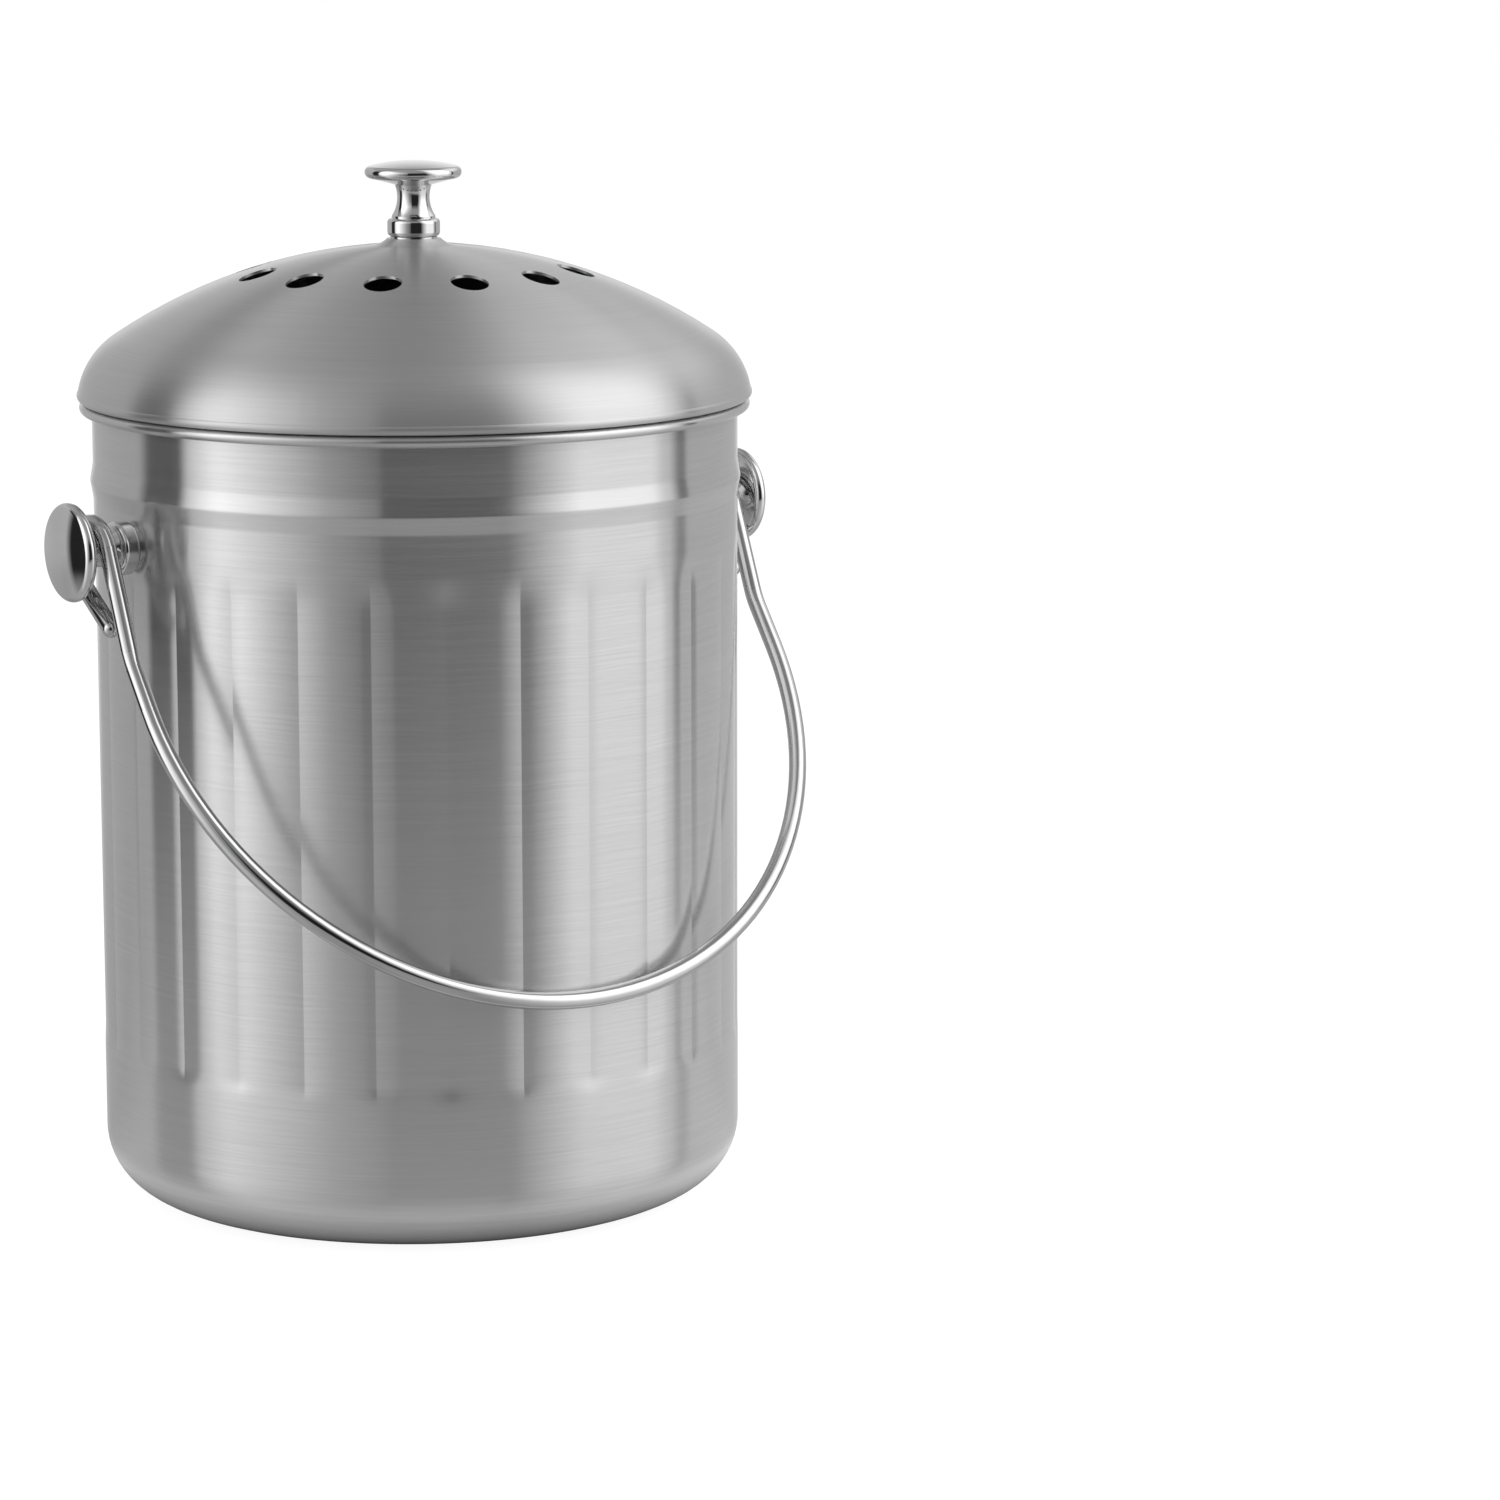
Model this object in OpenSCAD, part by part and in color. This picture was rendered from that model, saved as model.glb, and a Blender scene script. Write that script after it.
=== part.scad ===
// Compost caddy: a fluted steel bucket with a vented lift-off lid and a swinging wire bail.
// Millimetres. The origin is the centre of the base, on the surface that the caddy stands on.
// +Z is up, X runs along the bail's pivot axis, and the bail hangs on the -Y side.

/* [Bucket] */
// Outside radius of the plain wall
bucket_r = 88; // [76:0.5:104]
// Height of the rolled rim's top above the base
bucket_h = 219.2; // [190:0.2:280]
// Thickness of the bucket's drawn sheet
wall_t = 0.8; // [0.5:0.1:1.2]
// Outside radius of the rounded corner between the wall and the base
corner_r = 18; // [8:0.5:26]
// Height of the rolled rim's rounded edge
rim_roll_h = 2.9; // [2.2:0.1:4.4]
// How far the rolled rim stands out from the wall
rim_out = 3.4; // [2.6:0.1:5]

/* [Bead pressed round the wall] */
// Distance from the rim's top down to the middle of the bead
bead_drop = 21.2; // [16:0.2:30]
// Height of the bead
bead_h = 9.6; // [6:0.2:14]
// How far the bead stands out from the wall
bead_out = 0.8; // [0.4:0.1:1.6]

/* [Flutes pressed into the wall] */
// Number of lobes round the wall, with a crease between each two
flute_n = 28; // [20:4:40]
// Height of the flutes' lower ends above the base
flute_low = 44; // [32:1:70]
// Radius that each lobe's face is curved to
lobe_r = 50; // [40:1:66]
// How far the lobes' crests lie inside the plain wall
flute_recess = 0.2; // [0.1:0.05:0.6]
// Distance from the flutes' upper ends up to the pivots' washers
flute_margin = 1; // [0.9:0.1:4]

/* [Knobs] */
// Length of a knob from its seat to the crown of its disc
knob_len = 21; // [19:0.5:28]
// Radius of a knob's disc
disc_r = 13.2; // [11:0.1:16]
// Height of the disc's rounded rim
disc_rim_h = 3.4; // [2.4:0.1:4]
// Height of the disc's shallow crown
crown_h = 1.4; // [1:0.1:2.6]
// Depth of the cone under the disc
under_h = 1.9; // [1.2:0.1:4]
// Radius of a knob's neck at its waist
neck_r = 4.4; // [3.8:0.1:5.4]
// Radius that the neck's waist is curved to
waist_r = 9; // [7:0.5:14]
// How far up the neck its waist lies, as a part of the neck's length
waist_at = 0.64; // [0.5:0.02:0.7]
// Radius of the collar at the foot of the neck
collar_r = 7.2; // [6.4:0.1:8.4]
// Height of the collar
collar_h = 5; // [3.6:0.1:6]
// Radius of the foot that the knob stands on
foot_r = 6.4; // [5.6:0.1:7]
// Height of the foot
foot_h = 0.5; // [0.4:0.1:1.5]
// Distance from the pivots' collars up to the bead
collar_margin = 1.2; // [0.4:0.1:4]

/* [Screws and washers] */
// Radius of a screw's shank
screw_r = 2; // [1.5:0.1:2.4]
// Length of thread that each screw has in its knob
thread_len = 9; // [5:0.5:12]
// Radius of a screw's head
head_r = 3.9; // [3.4:0.1:4.4]
// Height of a screw's head
head_h = 2.4; // [1.8:0.1:3.2]
// Width of the cross recess in a screw's head
cross_w = 1; // [0.6:0.1:1.4]
// Outside radius of the pivots' washers
washer_r = 6; // [5.2:0.1:7]
// Outside radius of the lid knob's washer
lid_washer_r = 5.6; // [5:0.1:6.4]
// Thickness of the washers
washer_t = 1; // [0.6:0.1:1.6]

/* [Bail] */
// Radius of the bail's wire
wire_r = 2.4; // [1.8:0.1:3]
// Distance from the wall out to the middle of the bail's eyes
eye_out = 10.6; // [9.5:0.1:12]
// Length of each leg from the pivot axis to where the arch begins
leg_len = 49; // [40:0.2:70]
// Distance from the pivot axis down to the point of each teardrop eye
eye_len = 34; // [28:0.5:38]
// How much wider each eye is than the neck that it hangs from
eye_slack = 2.2; // [0.5:0.1:2.4]
// Length of each eye's straight tail
tail_len = 17.5; // [10:0.5:18]
// Radius of the bend where each eye runs into its leg
bend_r = 20; // [8:1:30]
// How far the bail has slid along the pivot axis, towards -X
bail_shift = 0.8; // [0:0.1:1]

/* [Lid] */
// How far the lid stands out past the bucket's wall
lid_over = 4; // [3.6:0.1:8]
// Thickness of the lid's sheet
lid_t = 0.7; // [0.5:0.1:1]
// Radius of the dome's crown
crown_r = 148.7; // [125:0.1:200]
// Radius of the dome's rounded edge
edge_r = 22; // [14:0.5:30]
// How far the edge's centre lies below the lid's underside
edge_drop = 1.4; // [0:0.1:2.5]
// Radius of the lip rolled round the lid
lip_roll_r = 1.5; // [1.2:0.1:2]
// Height of the raised seat under the lid's knob, above the crown
seat_h = 1.5; // [1:0.1:2.5]
// Radius at which the flare of the raised seat meets the crown
flare_end = 12.2; // [10.6:0.1:14]
// Radius of the flare's hollow curve
flare_r = 7; // [5:0.1:8]
// Depth of the skirt below the lid's underside
skirt_h = 17.3; // [12:0.1:24]
// Distance from the lid's underside down to the raised line round the skirt
line_drop = 7; // [4:0.1:10]
// Height of the raised line
line_h = 0.8; // [0.4:0.1:1.2]
// How far the raised line stands out from the skirt
line_out = 0.3; // [0.2:0.05:0.5]

/* [Vents] */
// Number of vent holes
vent_n = 12; // [8:1:16]
// Radius of each vent hole
vent_r = 5.1; // [3:0.05:6.5]
// Radius of the circle that the vent holes lie on
vent_ring_r = 44.5; // [34:0.5:56]
// Angle of the first vent hole from the pivot axis
vent_turn = 18.7; // [0:0.1:30]

/* [Filter] */
// Height of the holder's lower face above the skirt's lower edge
holder_up = 2.2; // [1:0.1:5]
// Height of the holder's ring
holder_h = 11; // [9.5:0.5:14]
// Thickness of the holder's ring
holder_t = 1.6; // [1.2:0.1:2.4]
// Thickness of the holder's grille
grille_t = 1.8; // [1.2:0.1:2.6]
// Width of the grille's bars
bar_w = 4; // [3:0.5:7]
// Number of bars that run out from the grille's hub
bar_n = 8; // [6:1:12]
// Number of rows of slots in the grille
slot_rows = 3; // [2:1:4]
// Radius of the grille's hub
hub_r = 12; // [8:0.5:18]
// Thickness of the charcoal filter
filter_t = 8; // [5:0.5:9]

/* [Fits] */
// Clearance between the bail and what it turns or rests on
bail_gap = 0.45; // [0.35:0.05:0.5]
// Clearance between the lid and the bucket
lid_gap = 0.3; // [0.2:0.05:0.5]
// Clearance round the skirt's wall inside the bucket
skirt_gap = 1.2; // [0.9:0.05:1.6]
// Clearance between curved faces that are fixed together
seat_gap = 0.03; // [0.01:0.01:0.1]
// Clearance round a screw's shank in sheet and washer
hole_gap = 0.25; // [0.1:0.05:0.5]
// Clearance round the filter holder and the filter
filter_gap = 0.1; // [0.05:0.05:0.3]

/* [Hidden] */
$fn = 180;

// A cut runs this far past the faces that it opens
past = 1;
// The balls that join the bail's wire stand out from it by this much
joint_swell = 0.02;
inner_r = bucket_r - wall_t;
bead_z = bucket_h - bead_drop;
pivot_z = bead_z - bead_h / 2 - collar_margin - collar_r;
flute_top = pivot_z - washer_r - flute_margin;

// The knob's parts, as heights above its seat
collar_top = foot_h + collar_h;
rim_low = knob_len - crown_h - disc_rim_h;
under_low = rim_low - under_h;
disc_rim_r = disc_rim_h / 2;
disc_rim_c = disc_r - disc_rim_r;
// The disc's crown runs smoothly into its rounded rim
disc_crown_r = disc_rim_r + (disc_rim_c * disc_rim_c + crown_h * crown_h) / (2 * crown_h);
crown_edge_r = disc_rim_c * disc_crown_r / (disc_crown_r - disc_rim_r);
waist_z = collar_top + waist_at * (under_low - collar_top);
shoulder_r = collar_r - collar_h / 4;

leg_x = bucket_r + eye_out;
bail_reach = leg_len + leg_x;
bail_lean = asin((bucket_r - flute_recess + bail_gap + wire_r) / bail_reach);

// The eye's round end hangs straight down from its neck. Both of its strands run to the
// point, and each leans by its own angle.
eye_r = neck_r + bail_gap + eye_slack + wire_r;
eye_centre = eye_slack * [sin(bail_lean), -cos(bail_lean)];
eye_rise = eye_centre + [0, eye_len];
eye_turn = asin(eye_r / norm(eye_rise));
eye_tilt = atan2(eye_rise[0], eye_rise[1]);
front_lean = eye_turn - eye_tilt;
back_lean = eye_turn + eye_tilt;
bend_reach = bend_r * tan(front_lean / 2);

lid_r = bucket_r + lid_over;
lid_low = bucket_h + lid_gap;
lip_z = lid_low + lip_roll_r;
edge_c = lid_r - edge_r;
edge_z = lid_low - edge_drop;
crown_c = edge_z - sqrt(pow(crown_r - edge_r, 2) - edge_c * edge_c);
crown_top = crown_c + crown_r;
lid_seat_z = crown_top + seat_h;
lip_c = lid_r - lip_roll_r;

skirt_r = inner_r - skirt_gap;
skirt_in = skirt_r - lid_t;
skirt_low = lid_low - skirt_h;
skirt_roll_r = (inner_r - lid_gap - skirt_in) / 2;
flange_r = lip_c - sqrt(pow(lip_roll_r, 2) - pow(lip_roll_r - lid_t, 2)) - seat_gap;

holder_z = skirt_low + holder_up;
holder_r = skirt_in - filter_gap;
slot_out = holder_r - holder_t - bar_w;
slot_pitch = (slot_out - hub_r) / slot_rows;
filter_r = holder_r - holder_t - filter_gap;

steel = "silver";
polished = "gainsboro";
zinc = "lightslategray";
plastic = "dimgray";
charcoal = "black";

// The closed outline of the bucket, drawn the given distance inside its outer skin
module bucket_outline(inset) {
    translate([0, inset]) square([bucket_r - corner_r, bucket_h - inset]);
    translate([bucket_r - corner_r, corner_r]) circle(corner_r - inset);
    translate([0, corner_r]) square([bucket_r - inset, bucket_h - corner_r]);
    translate([bucket_r - inset, bead_z])
        polygon([[-corner_r, -bead_h / 2], [0, -bead_h / 2], [bead_out, 0], [0, bead_h / 2],
                 [-corner_r, bead_h / 2]]);
}

// The plain bucket below and above the flutes, as a solid of revolution
module bucket_band(inset, low, high) {
    rotate_extrude() intersection() {
        bucket_outline(inset);
        translate([0, low]) square([2 * bucket_r, high - low]);
    }
}

// The ring of overlapping round lobes, whose meeting lines are the creases
module flute_ring(inset, low, high) {
    translate([0, 0, low]) linear_extrude(high - low)
        for (i = [0 : flute_n - 1])
            rotate((i + 0.5) * 360 / flute_n)
                translate([bucket_r - flute_recess - lobe_r, 0]) circle(lobe_r - inset);
}

// Everything inside one skin of the bucket. The fluted stretch reaches past its ends by
// the given overlap, so that the sheet keeps its thickness at the step to the plain wall.
module bucket_solid(inset, overlap) {
    bucket_band(inset, 0, flute_low - overlap);
    flute_ring(inset, flute_low - overlap, flute_top + overlap);
    bucket_band(inset, flute_top + overlap, bucket_h);
}

module rolled_rim() {
    roll_r = rim_roll_h / 2;
    roll_z = bucket_h - roll_r;
    rotate_extrude() {
        translate([bucket_r + rim_out - roll_r, roll_z]) circle(roll_r);
        translate([inner_r + roll_r, roll_z]) circle(roll_r);
        translate([inner_r + roll_r, roll_z - roll_r])
            square([rim_out + wall_t - rim_roll_h, rim_roll_h]);
    }
}

// A knob's axis, laid along +X from the bucket's centre at the height of the pivots
module at_pivot(side) {
    translate([0, 0, pivot_z]) rotate([0, side * 90, 0]) children();
}

module bucket_shell() color(steel) {
    difference() {
        bucket_solid(0, 0);
        bucket_solid(wall_t, wall_t);
        translate([0, 0, bucket_h - past]) cylinder(r = inner_r, h = 2 * past);
        for (side = [-1, 1])
            at_pivot(side) cylinder(r = screw_r + hole_gap, h = bucket_r + past);
    }
    rolled_rim();
}

// The collar at the foot of a knob, with rounded edges
module collar() {
    round_r = collar_r - shoulder_r;
    rotate_extrude() {
        square([shoulder_r, collar_h]);
        for (z = [round_r, collar_h - round_r]) translate([shoulder_r, z]) circle(round_r);
        translate([0, round_r]) square([collar_r, collar_h - 2 * round_r]);
    }
}

// The waisted neck between the collar and the disc
module neck() {
    rotate_extrude() difference() {
        translate([0, foot_h]) square([shoulder_r, rim_low - foot_h]);
        translate([neck_r + waist_r, waist_z]) circle(waist_r);
    }
}

// The domed disc at the head of a knob
module disc() {
    translate([0, 0, under_low])
        cylinder(r1 = neck_r, r2 = disc_rim_c, h = under_h);
    translate([0, 0, rim_low]) rotate_extrude() {
        square([disc_rim_c, disc_rim_h]);
        translate([disc_rim_c, disc_rim_r]) circle(disc_rim_r);
    }
    intersection() {
        translate([0, 0, knob_len - disc_crown_r]) sphere(disc_crown_r);
        translate([0, 0, rim_low + disc_rim_r])
            cylinder(r = crown_edge_r, h = knob_len);
    }
}

// A turned knob that stands on the plane Z = 0, with a threaded hole in its foot.
// The foot reaches below the plane by the given depth, for a seat that is curved.
module knob(sink) {
    difference() {
        union() {
            translate([0, 0, -sink]) cylinder(r = foot_r, h = foot_h + sink);
            translate([0, 0, foot_h]) collar();
            neck();
            disc();
        }
        translate([0, 0, -sink - past])
            cylinder(r = screw_r + seat_gap, h = sink + past + thread_len + past);
    }
}

// The depth by which a round face of the given radius dips on the bucket's wall
function wall_dip(face_r, wall_r) = wall_r - sqrt(wall_r * wall_r - face_r * face_r);

module pivot_knob(side) color(polished) {
    difference() {
        at_pivot(side) translate([0, 0, bucket_r]) knob(wall_dip(collar_r, bucket_r));
        cylinder(r = bucket_r + seat_gap, h = bucket_h);
    }
}

module ring(outer_r, height) {
    difference() {
        cylinder(r = outer_r, h = height);
        translate([0, 0, -past]) cylinder(r = screw_r + hole_gap, h = height + 2 * past);
    }
}

pivot_washer_in = inner_r - wall_dip(washer_r, inner_r) - washer_t;

module pivot_washer(side) color(zinc) {
    intersection() {
        at_pivot(side) translate([0, 0, pivot_washer_in]) ring(washer_r, bucket_r);
        cylinder(r = inner_r - seat_gap, h = bucket_h);
    }
}

// A cross-head screw whose head rests under the plane Z = 0, with its shank above it
module screw(shank_len) {
    difference() {
        union() {
            intersection() {
                translate([0, 0, -head_h]) cylinder(r = head_r, h = head_h);
                translate([0, 0, head_r * 2 - head_h]) sphere(head_r * 2);
            }
            cylinder(r = screw_r, h = shank_len);
        }
        for (turn = [0, 90])
            rotate(turn) translate([-screw_r, -cross_w / 2, -head_h - past])
                cube([2 * screw_r, cross_w, head_h / 2 + past]);
    }
}

module pivot_screw(side) color(zinc) {
    at_pivot(side) translate([0, 0, pivot_washer_in])
        screw(bucket_r - pivot_washer_in + thread_len);
}

// A round bar from one point of the plane to another, with a ball at each end that
// joins it to the bend it runs into
module rod(from, to) {
    run = to - from;
    translate([from[0], from[1], 0]) rotate(atan2(run[1], run[0])) rotate([0, 90, 0]) {
        translate([0, 0, joint_swell]) cylinder(r = wire_r, h = norm(run) - 2 * joint_swell);
        for (end = [0, norm(run)]) translate([0, 0, end]) sphere(wire_r + joint_swell);
    }
}

// A round bar bent along an arc of the plane
module bend(centre, radius, from, to) {
    translate([centre[0], centre[1], 0]) rotate(from)
        rotate_extrude(angle = to - from) translate([radius, 0]) circle(wire_r);
}

// One teardrop eye and its leg, drawn in a plane with the pivot axis at the origin
module eye_and_leg() {
    leg_top = [0, -eye_len - bend_reach];
    strand_low = [-bend_reach * sin(front_lean), bend_reach * cos(front_lean) - eye_len];
    strand_top = eye_centre - eye_r * [cos(front_lean), sin(front_lean)];
    tail_top = eye_centre + eye_r * [cos(back_lean), -sin(back_lean)];
    rod([0, -leg_len], leg_top);
    bend([-bend_r, leg_top[1]], bend_r, 0, front_lean);
    rod(strand_low, strand_top);
    bend(eye_centre, eye_r, -back_lean, 180 + front_lean);
    rod(tail_top, tail_top - tail_len * [sin(back_lean), cos(back_lean)]);
}

module bail_handle() color(polished) {
    translate([-bail_shift, 0, pivot_z]) rotate([-bail_lean, 0, 0]) {
        translate([0, 0, -leg_len]) rotate([-90, 0, 0]) bend([0, 0], leg_x, 0, 180);
        for (side = [-1, 1])
            translate([side * leg_x, 0, 0]) rotate([90, 0, 90]) eye_and_leg();
    }
}

// Everything under the dome, drawn the given distance inside its outer skin
module dome_outline(inset) {
    intersection() {
        translate([0, crown_c]) circle(crown_r - inset);
        polygon([[0, crown_c], [2 * edge_c, 2 * edge_z - crown_c], [0, crown_c + 2 * crown_r]]);
    }
    translate([edge_c, edge_z]) circle(edge_r - inset);
    difference() {
        translate([0, edge_z]) square([flare_end, lid_seat_z - inset - edge_z]);
        translate([flare_end, flare_z()]) circle(flare_r + inset);
    }
}

function flare_z() = crown_c + sqrt(crown_r * crown_r - flare_end * flare_end) + flare_r;

module lid_dome() color(steel) {
    difference() {
        rotate_extrude() {
            difference() {
                dome_outline(0);
                dome_outline(lid_t);
                translate([0, lip_z - 2 * edge_r]) square([2 * lid_r, 2 * edge_r]);
            }
            translate([lip_c, lip_z]) circle(lip_roll_r);
        }
        cylinder(r = screw_r + hole_gap, h = lid_seat_z + past);
        for (i = [0 : vent_n - 1])
            rotate(vent_turn + i * 360 / vent_n) translate([vent_ring_r, 0, lip_z])
                cylinder(r = vent_r, h = lid_seat_z - lip_z);
    }
}

module lid_skirt() color(steel) {
    rotate_extrude() {
        translate([skirt_in, skirt_low + skirt_roll_r])
            square([lid_t, skirt_h - skirt_roll_r]);
        translate([skirt_in, lid_low]) square([flange_r - skirt_in, lid_t]);
        translate([skirt_in, lid_low - line_drop - line_h]) square([lid_t + line_out, line_h]);
        translate([skirt_in + skirt_roll_r, skirt_low + skirt_roll_r]) circle(skirt_roll_r);
    }
}

module lid_knob() color(polished) {
    translate([0, 0, lid_seat_z]) knob(0);
}

lid_washer_z = lid_seat_z - lid_t - seat_gap - washer_t;

module lid_knob_washer() color(zinc) {
    translate([0, 0, lid_washer_z]) ring(lid_washer_r, washer_t);
}

module lid_knob_screw() color(zinc) {
    translate([0, 0, lid_washer_z]) screw(washer_t + seat_gap + lid_t + thread_len);
}

// The slots of one row of the grille, between bars that run straight out
module slot_row(row) {
    inner = hub_r + row * slot_pitch;
    outer = inner + slot_pitch - (row < slot_rows - 1 ? bar_w : 0);
    difference() {
        translate([0, 0, -past]) cylinder(r = outer, h = grille_t + 2 * past);
        translate([0, 0, -2 * past]) cylinder(r = inner, h = grille_t + 4 * past);
        for (i = [0 : bar_n - 1])
            rotate(i * 360 / bar_n) translate([0, -bar_w / 2, -2 * past])
                cube([outer + past, bar_w, grille_t + 4 * past]);
    }
}

module filter_holder() color(plastic) {
    translate([0, 0, holder_z]) {
        difference() {
            cylinder(r = holder_r, h = holder_h);
            translate([0, 0, grille_t]) cylinder(r = holder_r - holder_t, h = holder_h);
            for (row = [0 : slot_rows - 1]) slot_row(row);
        }
    }
}

module charcoal_filter() color(charcoal) {
    translate([0, 0, holder_z + grille_t]) cylinder(r = filter_r, h = filter_t);
}

bucket_shell();
pivot_knob(-1);  // left_pivot_knob
pivot_knob(1);  // right_pivot_knob
pivot_washer(-1);  // left_pivot_washer
pivot_washer(1);  // right_pivot_washer
pivot_screw(-1);  // left_pivot_screw
pivot_screw(1);  // right_pivot_screw
bail_handle();
lid_dome();
lid_skirt();
lid_knob();
lid_knob_washer();
lid_knob_screw();
filter_holder();
charcoal_filter();
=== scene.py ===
import math

import bmesh
import bpy
from bpy.props import FloatProperty, FloatVectorProperty, IntProperty, PointerProperty
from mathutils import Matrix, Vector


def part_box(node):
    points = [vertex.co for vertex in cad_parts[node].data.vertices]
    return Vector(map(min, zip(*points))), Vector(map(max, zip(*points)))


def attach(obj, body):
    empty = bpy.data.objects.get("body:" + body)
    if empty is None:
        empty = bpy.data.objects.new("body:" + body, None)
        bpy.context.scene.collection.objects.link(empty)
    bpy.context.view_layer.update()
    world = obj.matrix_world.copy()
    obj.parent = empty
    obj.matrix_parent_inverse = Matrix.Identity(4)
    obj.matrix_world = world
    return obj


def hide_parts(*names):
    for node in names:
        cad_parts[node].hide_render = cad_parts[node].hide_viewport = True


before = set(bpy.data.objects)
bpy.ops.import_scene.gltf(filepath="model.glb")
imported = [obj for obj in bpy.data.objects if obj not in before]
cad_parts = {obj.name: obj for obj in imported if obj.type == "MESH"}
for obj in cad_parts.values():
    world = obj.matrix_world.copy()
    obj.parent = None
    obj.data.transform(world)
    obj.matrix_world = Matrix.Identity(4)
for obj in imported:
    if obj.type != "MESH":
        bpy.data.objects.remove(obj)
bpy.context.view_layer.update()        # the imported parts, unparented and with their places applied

bl_info = {
    "name": "Compost caddy",
    "version": (1, 0, 0),
    "blender": (4, 5, 0),
    "location": "View3D > Sidebar > Caddy",
    "description": "Finishes a packed compost caddy: fluted bucket, lid, bail, knobs and studio",
    "category": "Object",
}

MM = 0.001
BUCKET_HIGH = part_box("bucket_shell")[1]
FILTER_LOW, FILTER_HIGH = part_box("charcoal_filter")
POLE_R = 1.5 * MM        # the ring of vertices that is drawn together into a pole
FOOT_RUN = 6 * MM        # the flutes' run-outs at their lower and upper ends
HEAD_RUN = 10 * MM
CREST_DROP = 0.07 * MM   # how far the flutes' crests stay inside the plain wall
WALL_DEPTH = 3 * MM      # vertices farther in than this belong to the base
COLUMNS = 16             # columns of faces in each flute
SAME_COLUMN = 0.2 / COLUMNS     # as a share of a flute's turn
SAME_LEVEL = 0.02 * MM

# ------------------------------------------------------------------ settings


class CaddyBucket(bpy.types.PropertyGroup):
    """Sizes of the drawn steel bucket."""
    wall_r: FloatProperty(
        name="Wall radius", description="Outside radius of the plain wall",
        default=0.088, unit="LENGTH")
    wall_t: FloatProperty(
        name="Sheet", description="Thickness of the drawn sheet",
        default=0.0008, precision=5, unit="LENGTH")
    corner_r: FloatProperty(
        name="Corner radius", description="Outside radius of the corner at the base",
        default=0.018, unit="LENGTH")
    rim_z: FloatProperty(
        name="Rim height", description="Height of the rolled rim's top",
        default=BUCKET_HIGH[2], unit="LENGTH")
    rim_r: FloatProperty(
        name="Rim radius", description="Outside radius of the rolled rim",
        default=BUCKET_HIGH[0], unit="LENGTH")
    bead_z: FloatProperty(
        name="Bead height", description="Height of the middle of the pressed bead",
        default=0.198, unit="LENGTH")
    bead_half: FloatProperty(
        name="Bead half height", description="Height of each of the bead's two cones",
        default=0.0048, unit="LENGTH")
    bead_out: FloatProperty(
        name="Bead depth", description="How far the pressed bead stands out",
        default=0.0008, precision=5, unit="LENGTH")
    flutes: IntProperty(
        name="Flutes", description="Number of lobes round the wall", default=28, min=8, max=60)
    flute_low: FloatProperty(
        name="Flute foot", description="Height of the flutes' lower ends",
        default=0.041, unit="LENGTH")
    flute_high: FloatProperty(
        name="Flute head", description="Height of the flutes' upper ends",
        default=0.183, unit="LENGTH")
    lobe_r: FloatProperty(
        name="Lobe radius", description="Radius of each lobe's face",
        default=0.050, unit="LENGTH")


class CaddyFinish(bpy.types.PropertyGroup):
    """Colours and roughness of the caddy's materials."""
    steel: FloatVectorProperty(
        name="Brushed steel", description="Colour of the brushed sheet",
        subtype="COLOR", size=3, default=(0.62, 0.62, 0.62), min=0, max=1)
    wall_rough: FloatProperty(
        name="Wall roughness", description="Roughness of the bucket's brushed wall",
        default=0.19, min=0.05, max=0.8)
    lid_rough: FloatProperty(
        name="Lid roughness", description="Roughness of the lid's brushed dome",
        default=0.33, min=0.05, max=0.8)
    polish: FloatVectorProperty(
        name="Polished steel", description="Colour of the polished knobs",
        subtype="COLOR", size=3, default=(0.72, 0.72, 0.72), min=0, max=1)
    # The wire's colour is the knobs' polished steel made darker: painted shade, for the wire's
    # darker look
    wire: FloatVectorProperty(
        name="Polished wire", description="Colour of the bail's wire",
        subtype="COLOR", size=3, default=(0.58, 0.58, 0.58), min=0, max=1)
    zinc: FloatVectorProperty(
        name="Zinc", description="Colour of the screws and washers",
        subtype="COLOR", size=3, default=(0.52, 0.53, 0.55), min=0, max=1)
    plastic: FloatVectorProperty(
        name="Plastic", description="Colour of the filter's holder",
        subtype="COLOR", size=3, default=(0.018, 0.018, 0.019), min=0, max=1)
    felt: FloatVectorProperty(
        name="Felt", description="Colour of the charcoal felt",
        subtype="COLOR", size=3, default=(0.012, 0.012, 0.012), min=0, max=1)


class CaddyStudio(bpy.types.PropertyGroup):
    """Camera and light."""
    lens: FloatProperty(
        name="Lens", description="Focal length of the camera", default=127.1, unit="CAMERA")
    camera_at: FloatVectorProperty(
        name="Camera place", description="Where the camera stands", subtype="TRANSLATION",
        size=3, default=(-0.7331, -1.2446, 0.3836), unit="LENGTH")
    heading: FloatProperty(
        name="Heading", description="Turn of the camera to the right of +Y",
        default=math.radians(34.127), unit="ROTATION")
    pitch: FloatProperty(
        name="Pitch", description="Tilt of the camera below level",
        default=0.1801, unit="ROTATION")


# ------------------------------------------------------------------ materials

LIBRARY = {}


def wire(tree, source, target):
    tree.links.new(source, target)


def add_node(tree, kind, **values):
    node = tree.nodes.new(kind)
    for key, value in values.items():
        setattr(node, key, value)
    return node


def feed(tree, socket, value):
    """Connects a socket to another node's output, or sets it to a constant."""
    if isinstance(value, bpy.types.NodeSocket):
        tree.links.new(value, socket)
    else:
        socket.default_value = value


def maths(tree, operation, *values):
    node = add_node(tree, "ShaderNodeMath", operation=operation)
    for socket, value in zip(node.inputs, values):
        feed(tree, socket, value)
    return node.outputs[0]


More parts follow.
